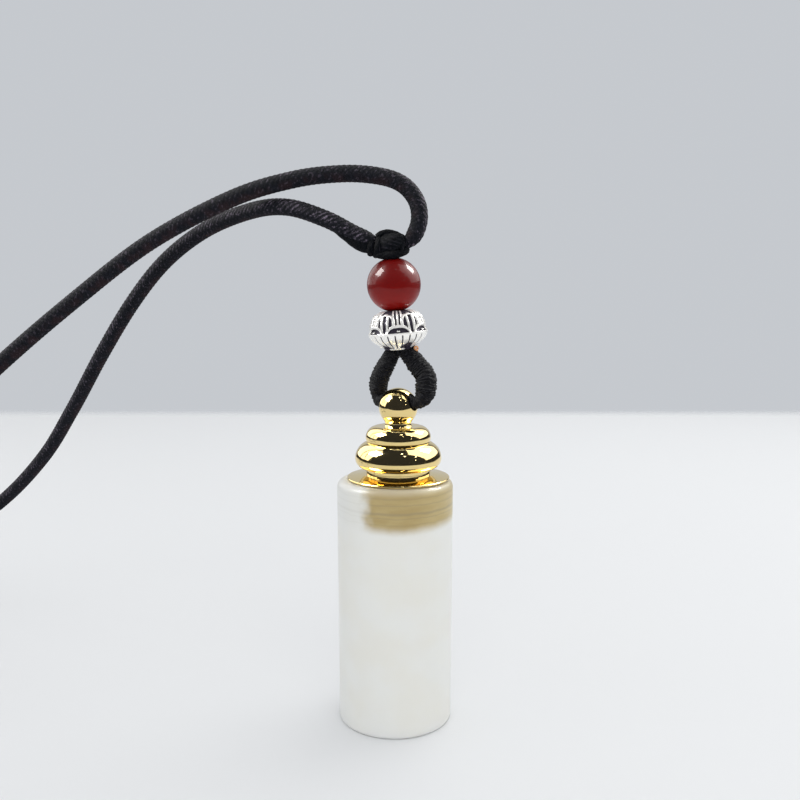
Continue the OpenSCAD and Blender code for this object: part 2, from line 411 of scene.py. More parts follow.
@dataclass(frozen=True)
class GoldMetal(Finish):
    """Bright gold plating over turned brass."""

    slot: ClassVar[Slot] = Slot.GOLD
    bright: Colour = (0.88, 0.69, 0.31)
    deep: Colour = (0.82, 0.59, 0.22)
    blot_size: float = 1.6
    mark_size: float = 0.16
    polish: float = 0.055

    def material(self) -> Material:
        """Gold with faint turning marks and a few dull spots.

        Returns:
            The material.
        """
        recipe = Recipe(bpy.data.materials.new("gold_metal"))
        x, y, z = recipe.place()
        blots = recipe.cloud(self.blot_size).rise(0.5, 0.75)
        turned = recipe.joined(x * 0.02, y * 0.02, z)
        marks = recipe.cloud(self.mark_size, turned, detail=3.0)
        return recipe.surface(
            {
                "Base Color": recipe.mix(blots * 0.3, self.bright, self.deep),
                "Metallic": 1.0,
                "Roughness": self.polish + marks * 0.04 + blots * 0.03,
            },
            bump=marks,
            depth=0.001,
        )


@dataclass(frozen=True)
class RedStone(Finish):
    """Polished translucent red stone."""

    slot: ClassVar[Slot] = Slot.RED
    centre_z: float = 68.2
    radius: float = 4.1
    deep: Colour = (0.155, 0.0012, 0.0008)
    # The colour of the painted glow, low down.
    glow: Colour = (0.25, 0.004, 0.0015)
    vein_size: float = 1.1
    cloud_size: float = 1.8

    def material(self) -> Material:
        """Deep red with a painted glow low down, where light through the bead would leave it.

        Returns:
            The material.
        """
        recipe = Recipe(bpy.data.materials.new("red_stone"))
        x, y, z = recipe.place()
        # Painted glow of light through the stone, growing towards the bottom.
        low = (self.centre_z - z).rise(-self.radius * 0.25, self.radius * 1.05)
        upright = recipe.joined(x * 0.5, y * 0.5, z)
        veins = recipe.cloud(self.vein_size, upright, detail=4.0)
        clouds = recipe.cloud(self.cloud_size)
        wander = (clouds - 0.5) * 0.2 + (veins - 0.5) * 0.25
        return recipe.surface(
            {
                "Base Color": recipe.mix(low + wander, self.deep, self.glow),
                "Roughness": 0.4,
                "Specular IOR Level": 0.1,
                "Subsurface Weight": 0.25,
                "Subsurface Radius": (1.0, 0.1, 0.05),
                "Subsurface Scale": 1.2 * MM,
                "Coat Weight": 0.36,
                "Coat Roughness": 0.065,
            },
            bump=veins,
            depth=0.003,
        )


@dataclass(frozen=True)
class GroovedSilver(Finish):
    """Bright silver, darkened in its grooves and in the bowl's painted reflection and shade,
    whose depth the form itself carries.
    """

    slot: ClassVar[Slot] = Slot.SILVER
    bright: Colour = (0.97, 0.96, 0.93)
    dark: Colour = (0.04, 0.034, 0.055)
    bright_relief: tuple[float, float] = (0.25, 0.5)
    dull: float = 0.5
    polish: float = 0.32
    grain_size: float = 0.35

    def material(self) -> Material:
        """Bright metal on the high parts, and dark and dull in the low ones.

        Returns:
            The material.
        """
        recipe = Recipe(bpy.data.materials.new("grooved_silver"))
        relief = recipe.add(
            "ShaderNodeAttribute", {}, {"attribute_name": "relief"}, output="Fac"
        )
        # Low relief is dark: the grooves, and the bowl's painted reflection and shade; the painted
        # highlight on the foot's lip is high.
        bright_share = relief.rise(*self.bright_relief)
        return recipe.surface(
            {
                "Base Color": recipe.mix(bright_share, self.dark, self.bright),
                "Metallic": 0.3,
                "Roughness": self.dull - bright_share * self.polish,
                "Specular IOR Level": 0.4,
            },
            bump=recipe.cloud(self.grain_size),
            depth=0.004,
        )


@dataclass(frozen=True)
class BlackBraid(Finish):
    """Braided black cord: bluish, with painted warm light underneath, and pale streaks and
    glints painted on as highlights, brighter on the top.

    Its plaits and its pitch are those of the cord's form.
    """

    slot: ClassVar[Slot] = Slot.BRAID
    plaits: int = 8
    pitch: float = 0.8
    # How much painted light the braid gets: warm light underneath, highlights and glints.
    painted_light: float = 1.0
    dark: Colour = (0.004, 0.005, 0.007)
    body: Colour = (0.0115, 0.012, 0.018)
    # The colour of the painted warm light underneath.
    warm: Colour = (0.026, 0.013, 0.015)
    # The colour of the painted highlights and glints.
    pale: Colour = (0.23, 0.19, 0.25)
    fibre_size: float = 0.5
    tint_size: float = 2.5
    patch_size: float = 0.8
    glint_size: float = 1.0

    def material(self) -> Material:
        """Plaits that cross, with fine fibres, painted warm light underneath, and painted
        highlights and glints, more on the upper side.

        Returns:
            The material.
        """
        recipe = Recipe(bpy.data.materials.new(f"black_braid_{self.plaits}"))
        turn, run = recipe.unwrapped()
        upward = -(turn * FULL_TURN).sine()
        rising = turn * self.plaits + run / self.pitch
        falling = turn * self.plaits - run / self.pitch
        left, right = abs((rising * math.pi).sine()), abs((falling * math.pi).sine())
        drawn_out = recipe.joined(turn * 22, run * 3, 0)
        fibres = recipe.cloud(self.fibre_size, drawn_out, detail=3.0)
        tint = recipe.cloud(self.tint_size, recipe.joined(turn * 6, run, 0))
        patches = recipe.cloud(self.patch_size, recipe.joined(turn * 6, run, 3.0))
        weave = left * right * 0.22 + fibres * 0.8 + patches * 0.5
        body = recipe.mix(weave.rise(0.45, 1.05), self.dark, self.body)
        # Painted warm light on the side facing down.
        under = (-upward).rise(-0.1, 0.9) * tint.rise(0.42, 0.6) * self.painted_light
        body = recipe.mix(under * 0.6, body, self.warm)
        # Painted highlights: pale streaks on the plaits, shown only on the top.
        crown = left**5 * fibres.rise(0.38, 0.62) * tint.rise(0.38, 0.6)
        painted_top_light = upward.rise(0.25, 0.7) * (0.3 + patches.rise(0.4, 0.62) * 0.5)
        along_plaits = recipe.joined(rising * 1.7, falling * 0.9, 7.0)
        # Painted glints, brighter on the top.
        painted_glints = recipe.cloud(self.glint_size, along_plaits).rise(0.57, 0.68)
        painted_glints = painted_glints * (0.13 + upward.rise(-0.3, 0.8) * 0.27)
        # All the painted highlights and glints, shown in the pale colour.
        light = (crown * painted_top_light + painted_glints) * self.painted_light
        return recipe.surface(
            {
                "Base Color": recipe.mix(light, body, self.pale),
                "Roughness": 0.75,
                "Specular IOR Level": 0.1,
            },
            bump=fibres + left * right * 0.5,
            depth=0.06,
        )


@dataclass(frozen=True)
class BlackThread(Finish):
    """Fine black thread wound tightly round a core."""

    slot: ClassVar[Slot] = Slot.THREAD
    dark: Colour = (0.004, 0.004, 0.006)
    light: Colour = (0.03, 0.03, 0.038)
    fibre_size: float = 0.3
    fray_size: float = 0.8

    def material(self) -> Material:
        """Threads across the loop with frayed fibres.

        Returns:
            The material.
        """
        recipe = Recipe(bpy.data.materials.new("black_thread"))
        turn, run = recipe.unwrapped()
        drawn_out = recipe.joined(turn * 5, run * 3, 0)
        fibres = recipe.cloud(self.fibre_size, drawn_out, detail=4.0)
        frayed = recipe.cloud(self.fray_size, recipe.joined(turn * 6, run, 0))
        light = fibres.rise(0.45, 0.75) * frayed.rise(0.35, 0.65)
        return recipe.surface(
            {
                "Base Color": recipe.mix(light, self.dark, self.light),
                "Roughness": 0.8,
                "Specular IOR Level": 0.25,
            },
            bump=fibres,
            depth=0.08,
        )


@dataclass(frozen=True)
class CopperThread(Finish):
    """The bright end of a thin orange thread."""

    slot: ClassVar[Slot] = Slot.THREAD
    deep: Colour = (0.55, 0.20, 0.06)
    bright: Colour = (0.8, 0.45, 0.22)
    fibre_size: float = 0.2

    def material(self) -> Material:
        """Orange fibres.

        Returns:
            The material.
        """
        recipe = Recipe(bpy.data.materials.new("copper_thread"))
        colour = recipe.mix(recipe.cloud(self.fibre_size), self.deep, self.bright)
        return recipe.surface({"Base Color": colour, "Roughness": 0.6})


@lru_cache(maxsize=None)
def material_of(finish: Finish) -> Material:
    """A finish's material, made once however many pieces wear it."""
    return finish.material()


def mesh_of(name: str, form: Form) -> bpy.types.Mesh:
    """Makes a mesh from a form.

    Args:
        name: The mesh's name.
        form: The form, which is used up.

    Returns:
        The mesh.
    """
    mesh = bpy.data.meshes.new(name)
    form.to_mesh(mesh)
    form.free()
    return mesh


def put(name: str, data: bpy.types.ID) -> bpy.types.Object:
    """Makes an object and links it to the scene.

    Args:
        name: The object's name.
        data: Its mesh, lamp or camera.

    Returns:
        The object.
    """
    made = bpy.data.objects.new(name, data)
    bpy.context.scene.collection.objects.link(made)
    return made


def finish_piece(
    name: str, form: Form, finish: Finish, replaces: Sequence[str] = ()
) -> bpy.types.Object:
    """Makes a piece from a form in millimetres and sets it on the cap's body.

    Args:
        name: The piece's name.
        form: Its form, which is used up.
        finish: Its finish.
        replaces: The CAD nodes that it stands for.

    Returns:
        The piece.
    """
    bmesh.ops.scale(form, vec=(MM, MM, MM), verts=form.verts)
    for face in form.faces:
        face.smooth = True
    mesh = mesh_of(name, form)
    mesh.set_sharp_from_angle(angle=CREASE)
    mesh.materials.append(material_of(finish))
    piece = put(name, mesh)
    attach(piece, CAP_BODY)
    if replaces:
        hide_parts(*replaces)
    LOG.info("%s: %d faces", name, len(mesh.polygons))
    return piece


def dress_node(node: str, finish: Finish) -> None:
    """Gives a CAD node its finish.

    Args:
        node: The node's name.
        finish: The finish.
    """
    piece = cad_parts[node]
    material = material_of(finish)
    if not piece.material_slots:
        piece.data.materials.append(material)
    for slot in piece.material_slots:
        slot.material = material
    LOG.info("%s dressed", node)


def skin(
    columns: int,
    rows: int,
    place: Callable[[int, int], SkinPoint],
    closed_ends: bool = True,
) -> Form:
    """Wraps a grid round a form and welds its seam.

    Args:
        columns: Faces round the form.
        rows: Rings of points along it.
        place: Gives a point's place, its relief from 0 to 1 and its length along.
        closed_ends: Whether the two ends are filled.

    Returns:
        The form, with a UV map of turns and millimetres and a relief layer.
    """
    form = bmesh.new()
    bmesh.ops.create_grid(form, x_segments=columns, y_segments=rows - 1, size=0.5)
    form.verts.ensure_lookup_table()
    relief_layer = form.verts.layers.float.new("relief")
    uv_layer = form.loops.layers.uv.new("wrap")
    spread: dict[int, tuple[float, float]] = {}
    for vert in form.verts:
        column = round((vert.co.x + 0.5) * columns)
        row = round((vert.co.y + 0.5) * (rows - 1))
        spot, relief, run = place(column, row)
        spread[vert.index] = (column / columns, run)
        vert.co = spot
        vert[relief_layer] = relief
    for face in form.faces:
        for loop in face.loops:
            loop[uv_layer].uv = spread[loop.vert.index]
    bmesh.ops.remove_doubles(form, verts=form.verts, dist=WELD)
    if closed_ends:
        rims = [edge for edge in form.edges if edge.is_boundary]
        bmesh.ops.holes_fill(form, edges=rims, sides=0)
    bmesh.ops.recalc_face_normals(form, faces=form.faces)
    return form


def clamped(value: float) -> float:
    """The value, kept from 0 to 1."""
    return min(max(value, 0.0), 1.0)


def peak(value: float, middle: float, reach: float) -> float:
    """1 at the middle, falling evenly to 0 at the reach on either side."""
    return max(0.0, 1 - abs(value - middle) / reach)


def stroke(*distances: float) -> float:
    """A full line's height, from the distances to lines in half widths: 1 on a line."""
    return max(0.0, 1 - min(distances) ** 6)


def circle(turn: float) -> tuple[float, float]:
    """The cosine and the sine at a turn, from 0 to 1."""
    return math.cos(FULL_TURN * turn), math.sin(FULL_TURN * turn)


def direction(turn: float, climb: float) -> Vector:
    """The way at a turn from +X and a climb from the level, both in radians."""
    level = math.cos(climb)
    return Vector((level * math.cos(turn), level * math.sin(turn), math.sin(climb)))


def smooth_line(points: Sequence[Sequence[float]], steps: int) -> list[Vector]:
    """A smooth curve through points of any number of parts.

    Args:
        points: The points.
        steps: Places to each gap.

    Returns:
        The places along the curve.
    """
    known = [Vector(p) for p in points]
    known = [2 * known[0] - known[1], *known, 2 * known[-1] - known[-2]]
    line = []
    for a, b, c, d in zip(known, known[1:], known[2:], known[3:]):
        for step in range(steps):
            t = step / steps
            bend = (2 * a - 5 * b + 4 * c - d) * t**2 + (3 * b - a - 3 * c + d) * t**3
            line.append(0.5 * (2 * b + (c - a) * t + bend))
    line.append(known[-2])
    return line


@dataclass
class Ring:
    """One ring of a tube: its middle, its two directions, its size and its run."""

    middle: Vector
    side: Vector
    rise: Vector
    radius: float
    run: float


def rings_along(line: Sequence[Vector], spacing: float, first: Vector) -> list[Ring]:
    """Even rings along a line, carried without twist.

    Args:
        line: Places with four parts, the diameter last.
        spacing: The distance between rings.
        first: A direction that the first ring's side follows.

    Returns:
        The rings.
    """
    lengths = [0.0]
    for a, b in zip(line, line[1:]):
        lengths.append(lengths[-1] + (b.to_3d() - a.to_3d()).length)
    count = max(3, round(lengths[-1] / spacing) + 1)
    runs = [lengths[-1] * index / (count - 1) for index in range(count)]
    places, spot = [], 0
    for run in runs:
        while spot < len(line) - 2 and lengths[spot + 1] < run:
            spot += 1
        share = (run - lengths[spot]) / max(lengths[spot + 1] - lengths[spot], TINY)
        places.append(line[spot].lerp(line[spot + 1], clamped(share)))
    middles = [place.to_3d() for place in places]
    rings, side = [], first
    for index, middle in enumerate(middles):
        ahead = middles[min(index + 1, count - 1)] - middles[max(index - 1, 0)]
        way = ahead.normalized()
        side = (side - side.dot(way) * way).normalized()
        radius = places[index][3] / 2
        rings.append(Ring(middle, side, way.cross(side), radius, runs[index]))
    return rings


def tube(rings: Sequence[Ring], sides: int, relief: Relief) -> Form:
    """A tube through rings.

    Args:
        rings: The rings.
        sides: Faces round the tube.
        relief: For a turn and a run, how far the surface stands below the radius
            and its relief from 0 to 1.

    Returns:
        The tube's form.
    """

    def place(column: int, row: int) -> SkinPoint:
        """A point of the tube's surface.

        Args:
            column: Its number round the tube.
            row: Its ring's number.

        Returns:
            The point.
        """
        ring = rings[row]
        turn = column / sides
        sunk, height = relief(turn % 1.0, ring.run)
        aside, up = circle(turn)
        way = aside * ring.side + up * ring.rise
        return ring.middle + (ring.radius - sunk) * way, height, ring.run

    return skin(sides, len(rings), place)


@dataclass(frozen=True)
class Plaited:
    """The relief of a round braid.

    Attributes:
        plaits: Plaits round the cord.
        pitch: Length of one plait along it.
        depth: Depth of the grooves between plaits.
    """

    plaits: int
    pitch: float
    depth: float

    def __call__(self, turn: float, run: float) -> Cut:
        """How far the braid is sunk.

        Args:
            turn: The turn round the cord, from 0 to 1.
            run: The run along it.

        Returns:
            The cut.
        """
        left = math.sin(math.pi * (turn * self.plaits + run / self.pitch))
        right = math.sin(math.pi * (turn * self.plaits - run / self.pitch))
        height = math.sqrt(abs(left * right))
        return self.depth * (1 - height), height


@dataclass(frozen=True)
class Wound:
    """The relief of thread wound unevenly round a core.

    Attributes:
        pitch: Distance between turns.
        depth: Depth between turns.
        sway: How unevenly the turns lie.
        lumps: How far it swells, in depths.
        fuzz: How far its fibres stand out, in depths.
        middle: How far it is sunk on the whole, in depths.
        stretch: How fast its noise changes along it.
        sway_pace: How fast the turns' unevenness changes.
        lump_pace: How fast the swelling changes.
        fuzz_pace: How fast the fibres change.
    """

    pitch: float
    depth: float
    sway: float
    lumps: float = 0.9
    fuzz: float = 0.6
    middle: float = 1.25
    stretch: float = 0.9
    sway_pace: float = 1.3
    lump_pace: float = 2.6
    fuzz_pace: float = 9.0

    def __call__(self, turn: float, run: float) -> Cut:
        """How far the winding is sunk.

        Args:
            turn: The turn round the core, from 0 to 1.
            run: The run along it.

        Returns:
            The cut.
        """
        spot = Vector((*circle(turn), run * self.stretch))
        uneven = self.sway * noise.noise(spot * self.sway_pace)
        height = abs(math.sin(math.pi * (run / self.pitch + turn + uneven)))
        lumps = self.lumps * (0.5 + noise.noise(spot * self.lump_pace))
        fuzz = self.fuzz * (0.5 + noise.noise(spot * self.fuzz_pace))
        return self.depth * (self.middle - height - lumps - fuzz), height


@dataclass
class Stack:
    """The leaning line that the beads and the knot are threaded on."""

    off_axis: float = 0.7
    base_z: float = 58.459
    lean: float = 5.0

    def seat(self, form: Form, along: float) -> Form:
        """Moves a form made round the origin to its place on the line.

        Args:
            form: The form.
            along: Its distance up the line.

        Returns:
            The same form.
        """
        foot = Matrix.Translation((self.off_axis, 0, self.base_z))
        lean = Matrix.Rotation(math.radians(-self.lean), 4, "Y")
        place = foot @ lean @ Matrix.Translation((0, 0, along))
        bmesh.ops.transform(form, matrix=place, verts=form.verts)
        return form


@dataclass
class NeckCord:
    """The neck cord: out of the knot, round the table and back into it."""

    route: tuple[Point, ...] = (
        (1.4, -0.2, 73.9), (3, -0.1, 75.8), (3.7, 0.1, 78.3), (3.1, 0.3, 81),
        (1, 0.7, 83.3), (-2.5, 1.1, 84.5), (-8, 1.6, 84.9), (-15.5, 1.6, 84),
        (-25, 2.7, 81.3), (-38.5, 5.8, 75), (-51, 7, 66.1), (-64, 7, 55.4),
        (-79, 6.2, 41.5), (-93, 3.5, 26.5), (-106, -0.5, 12.5), (-119, -4, 3.6),
        (-134, -6, 1.6), (-149, -5.2, 1.4), (-160.5, 1.5, 1.4), (-166, 14, 1.4),
        (-166.5, 28, 1.4), (-160.5, 40, 1.4), (-148, 47.5, 1.4), (-132, 50.4, 1.6),
        (-115.5, 50.8, 4.6), (-99, 49.2, 13), (-83.2, 45.6, 23.4), (-70.6, 38.2, 34.4),
        (-61.5, 31, 45.1), (-53.2, 24.4, 56.1), (-46, 20.2, 65.4), (-39.3, 17.2, 72.4),
        (-31.5, 13, 77.3), (-23, 6.8, 79.8), (-16.5, 2.2, 80), (-10.5, 0.3, 78.1),
        (-6, -0.1, 75.8), (-2.4, -0.1, 74.3),
    )
    diameter: float = 2.6
    length: float = 450.1
    sides: int = 36
    spacing: float = 0.2
    curve_steps: int = 24
    proud: float = 0.015
    groove: float = 0.1
    tuck: float = 2.8
    taper: float = 0.6
    braid: BlackBraid = BlackBraid()

    def build(self) -> None:
        points = [(*point, self.diameter) for point in self.route]
        rings = rings_along(smooth_line(points, self.curve_steps), self.spacing, BACK)
        for ring in rings:
            inside = min(ring.run, rings[-1].run - ring.run) / self.tuck
            narrow = self.taper * max(0.0, 1 - inside) ** 2
            ring.radius = (ring.radius + self.proud) * (1 - narrow)
        weave = Plaited(self.braid.plaits, self.braid.pitch, self.groove)
        form = tube(rings, self.sides, weave)
        cord = finish_piece("neck_cord_braid", form, self.braid, ["neck_cord"])
        ([tuple(c * MM for c in ring.middle) for ring in rings[::4]]
            + [tuple(c * MM for c in rings[-1].middle)])


@dataclass(frozen=True)
class Lump:
    """A packed lump of the knot.

    Attributes:
        middle: Its middle, from the knot's.
        reach: How far it reaches along each axis.
        roughness: How uneven it is, as a share of its reach.
    """

    middle: Point
    reach: Point
    roughness: float


@dataclass(frozen=True)
class Strand:
    """A strand of the knot.

    Attributes:
        size: Its diameter.
        points: The points that it follows, from the knot's middle.
    """

    size: float
    points: Sequence[Point]


@dataclass(frozen=True)
class Hoop:
    """A strand of the knot that closes in a hoop.

    Attributes:
        size: The strand's diameter.
        middle: The hoop's middle, from the knot's.
        first: Its reach at the start.
        second: Its reach a quarter of the way round.
        steps: Points round it.
    """

    size: float
    middle: Point
    first: Point
    second: Point
    steps: int = 12

    def strand(self) -> Strand:
        """Lays the strand round the hoop.

        Returns:
            The strand, whose last point is its first.
        """
        points = []
        for step in range(self.steps + 1):
            x, y = circle(step / self.steps)
            reaches = zip(self.middle, self.first, self.second)
            points.append(tuple(m + a * x + b * y for m, a, b in reaches))
        return Strand(self.size, points)


@dataclass
class Knot:
    """The tied knot on the red bead: lumps, strands and hoops, tightly drawn."""

    stack: Stack
    along: float = 16.1
    lump_columns: int = 64
    lump_rows: int = 41
    sides: int = 28
    spacing: float = 0.14
    curve_steps: int = 10
    swelling: float = 0.16
    swelling_pace: float = 0.9
    lump_girth: float = 2.0
    lump_pace: float = 2.2
    fold_pace: float = 9.0
    folds: float = 0.3
    groove: float = 0.05
    first_side: Point = (0.2, 0.3, 1.0)
    # The knot's braid is darker and gets only a little painted light.
    braid: BlackBraid = BlackBraid(
        plaits=7, painted_light=0.14, dark=(0.001, 0.0018, 0.003), body=(0.0034, 0.005, 0.008)
    )
    lumps: tuple[Lump, ...] = (
        Lump(middle=(-0.1, 0, -0.4), reach=(2.45, 2.1, 2.0), roughness=0.08),
        Lump(middle=(0.5, -0.9, -0.05), reach=(1.75, 1.45, 1.4), roughness=0.05),
    )
    lower: Strand = Strand(1.35, (
        (-2.3, -0.7, -1.35), (-1.2, -1.3, -1.75), (0.3, -1.6, -1.85), (1.4, -1.3, -1.7),
        (2.1, -0.5, -1.35), (2.2, 0.4, -1.1),
    ))
    upper: Strand = Strand(1.0, (
        (-1.9, -0.5, 1.0), (-1.1, -0.6, 1.45), (-0.1, -0.5, 1.5), (0.9, -0.4, 1.2),
        (1.8, -0.2, 0.7),
    ))
    cord_end: Strand = Strand(2.25, (
        (-9.3, 0.3, 4.3), (-7.6, 0.15, 3.2), (-6.3, 0.1, 1.85), (-5.0, 0, 0.65),
        (-3.8, 0, 0.0), (-2.6, 0, -0.35), (-1.2, 0, -0.55),
    ))
    hoops: tuple[Hoop, ...] = (
        Hoop(1.05, middle=(-2.85, 0, -0.3), first=(0.1, 1.1, 0), second=(0.25, 0, 0.95)),
        Hoop(1.15, middle=(-1.95, 0, -0.45), first=(-0.1, 1.4, 0), second=(0.35, 0, 1.12)),
        Hoop(1.15, middle=(1.6, 0, -0.45), first=(0, 1.35, 0), second=(0.2, 0, 1.1)),
    )

    def _packed(self, lump: Lump) -> Form:
        """Makes a lump.

        Args:
            lump: The lump.

        Returns:
            Its form.
        """

        def place(column: int, row: int) -> SkinPoint:
            """A point of the lump's surface.

            Args:
                column: Its number round the lump.
                row: Its number up the lump.

            Returns:
                The point.
            """
            climb = math.pi * (row / (self.lump_rows - 1) - 0.5)
            way = direction(FULL_TURN * column / self.lump_columns, climb)
            uneven = noise.noise(way * self.lump_pace)
            uneven += self.folds * noise.noise(way * self.fold_pace)
            reach = Vector(a * b for a, b in zip(way, lump.reach))
            spot = Vector(lump.middle) + reach * (1 + lump.roughness * uneven)
            return spot, 1.0, self.lump_girth * climb

        return skin(self.lump_columns, self.lump_rows, place)

    def _braided(self, strand: Strand) -> Form:
        """Makes a strand.

        Args:
            strand: The strand.

        Returns:
            Its form.
        """
        points = [(*point, strand.size) for point in strand.points]
        line = smooth_line(points, self.curve_steps)
        rings = rings_along(line, self.spacing, Vector(self.first_side))
        for ring in rings:
            swell = noise.noise(ring.middle * self.swelling_pace)
            ring.radius *= 1 + self.swelling * swell
        weave = Plaited(self.braid.plaits, self.braid.pitch, self.groove)
        return tube(rings, self.sides, weave)

    def build(self) -> None:
        """Makes the lumps, the strands and the hoops as one piece."""
        strands = [self.lower, self.upper, self.cord_end]
        strands += [hoop.strand() for hoop in self.hoops]
        parts = [self._packed(lump) for lump in self.lumps]
        parts += [self._braided(strand) for strand in strands]
        whole = bmesh.new()
        for index, part in enumerate(parts):
            mesh = mesh_of(f"knot_part_{index}", part)
            whole.from_mesh(mesh)
            bpy.data.meshes.remove(mesh)
        knot = self.stack.seat(whole, self.along)
        finish_piece("tied_knot", knot, self.braid, ["cord_knot"])


@dataclass
class HangingLoop:
    """The thread-wrapped loop through the ball, and the core it sends up."""

    stack: Stack
    off_axis: float = 0.5
    ball_z: float = 49.559
    height: float = 8.9
    width: float = 8.0
    thickness: float = 3.0
    turn: float = 30.0
    leg_sides: int = 56
    leg_spacing: float = 0.06
    leg_steps: int = 10
    core: float = 1.7
    core_low: float = -0.9
    core_top: float = 15.0
    bridge: float = 2.3
    bridge_half: float = 2.0
    bridge_rise: float = 0.9
    plain_sides: int = 24
    plain_spacing: float = 0.2
    leg_winding: Wound = Wound(pitch=0.42, depth=0.15, sway=0.9)
    bridge_winding: Wound = Wound(pitch=0.46, depth=0.1, sway=0.1)
    core_winding: Wound = Wound(pitch=0.5, depth=0.08, sway=0.1)
    thread: BlackThread = BlackThread()
    right: tuple[Station, ...] = (
        (0.20, 0, 0.101, 0.56), (0.345, 0, 0.101, 0.56), (0.43, -0.003, 0.11, 0.64),
        (0.52, 0.012, 0.17, 0.85), (0.57, 0.043, 0.28, 1.0), (0.582, 0.045, 0.41, 1.04),
        (0.5765, 0.052, 0.52, 1.03), (0.537, 0.058, 0.6, 1.02), (0.452, 0.059, 0.68, 0.99),
        (0.327, 0.052, 0.8, 0.94), (0.217, 0.053, 0.91, 0.86), (0.13, 0.039, 1.0, 0.82),
    )
    left: tuple[Station, ...] = (
        (-0.20, 0, 0.101, 0.74), (-0.369, 0, 0.101, 0.74), (-0.456, 0.08, 0.15, 0.78),
        (-0.46, 0.042, 0.236, 0.84), (-0.452, 0.005, 0.337, 0.92),
        (-0.42, -0.01, 0.44, 0.93), (-0.36, -0.024, 0.56, 0.92),
        (-0.304, -0.032, 0.65, 0.91), (-0.207, -0.035, 0.785, 0.85),
        (-0.134, -0.028, 0.9, 0.78), (-0.08, -0.024, 1.0, 0.76),
    )

    def _turned(self, form: Form) -> Form:
        """Turns a form with the ball's hole and moves it to the ball.

        Args:
            form: The form, made round the origin.

        Returns:
            The same form.
        """
        ball = Matrix.Translation((self.off_axis, 0, self.ball_z))
        place = ball @ Matrix.Rotation(math.radians(-self.turn), 4, "Z")
        bmesh.ops.transform(form, matrix=place, verts=form.verts)
        return form

    def _leg(self, shares: Sequence[Station]) -> Form:
        """One wrapped leg.

        Args:
            shares: Its stations, as shares of the loop's sizes.

        Returns:
            The leg, in its place.
        """
        scale = (self.width, self.width, self.height, self.thickness)
        points = [[a * b for a, b in zip(row, scale)] for row in shares]
        rings = rings_along(smooth_line(points, self.leg_steps), self.leg_spacing, BACK)
        return self._turned(tube(rings, self.leg_sides, self.leg_winding))

    def _straight(self, start: Station, end: Station, winding: Wound) -> Form:
        """A straight wrapped stretch between two stations."""
        rings = rings_along([Vector(start), Vector(end)], self.plain_spacing, BACK)
        return tube(rings, self.plain_sides, winding)

    def build(self) -> None:
        """Makes the two legs, the stretch inside the ball and the core."""
        right, left = self._leg(self.right), self._leg(self.left)
        finish_piece("loop_right_leg", right, self.thread, ["hanging_loop"])
        finish_piece("loop_left_leg", left, self.thread)
        inside = self._straight(
            (-self.bridge_half, 0, self.bridge_rise, self.bridge),
            (self.bridge_half, 0, self.bridge_rise, self.bridge),
            self.bridge_winding,
        )
        finish_piece("loop_in_ball", self._turned(inside), self.thread)
        core = self._straight(
            (0, 0, self.core_low, self.core),
            (0, 0, self.core_top, self.core),
            self.core_winding,
        )
        finish_piece("loop_core", self.stack.seat(core, 0), self.thread)


